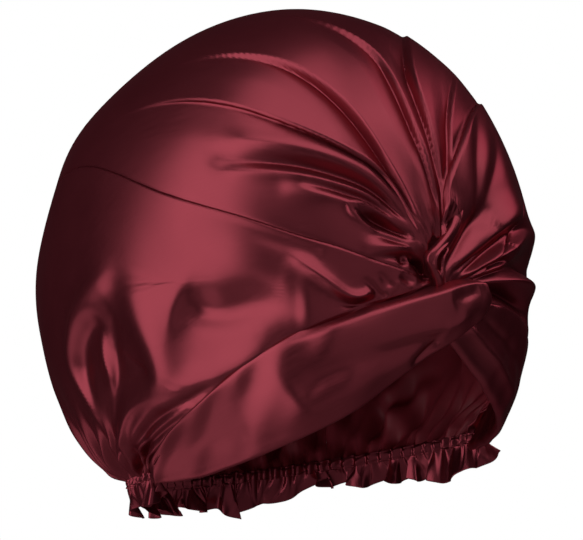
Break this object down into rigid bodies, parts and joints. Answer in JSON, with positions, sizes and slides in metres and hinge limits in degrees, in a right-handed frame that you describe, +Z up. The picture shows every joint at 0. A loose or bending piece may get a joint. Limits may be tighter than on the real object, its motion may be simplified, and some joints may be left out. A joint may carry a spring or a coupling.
{
  "type": "sleep bonnet",
  "caption": "Satin sleep bonnet in its worn form: gathered crown, crossed front brim with a twist at the forehead, elastic casing and frill at the nape.",
  "frame": {"origin": "middle of the opening the head goes through, level with the wearer's ears", "axes": "-Y is the way the wearer faces, +Z is up, +X is the wearer's left"},
  "size_m": [0.2207, 0.2482, 0.2474],
  "materials": {
    "crown_centre_panel": "satin",
    "crown_side_right": "satin",
    "crown_side_left": "satin",
    "front_band_right": "satin",
    "front_band_left": "satin",
    "twist_strand": "satin",
    "nape_casing": "satin",
    "nape_ruffle": "satin"
  },
  "bodies": {
    "root": {"crown_centre_panel": "crown_centre_panel", "crown_side_right": "crown_side_right", "crown_side_left": "crown_side_left", "front_band_right": "front_band_right", "front_band_left": "front_band_left", "twist_strand": "twist_strand", "nape_casing": "nape_casing", "nape_ruffle": "nape_ruffle"}
  },
  "joints": []
}
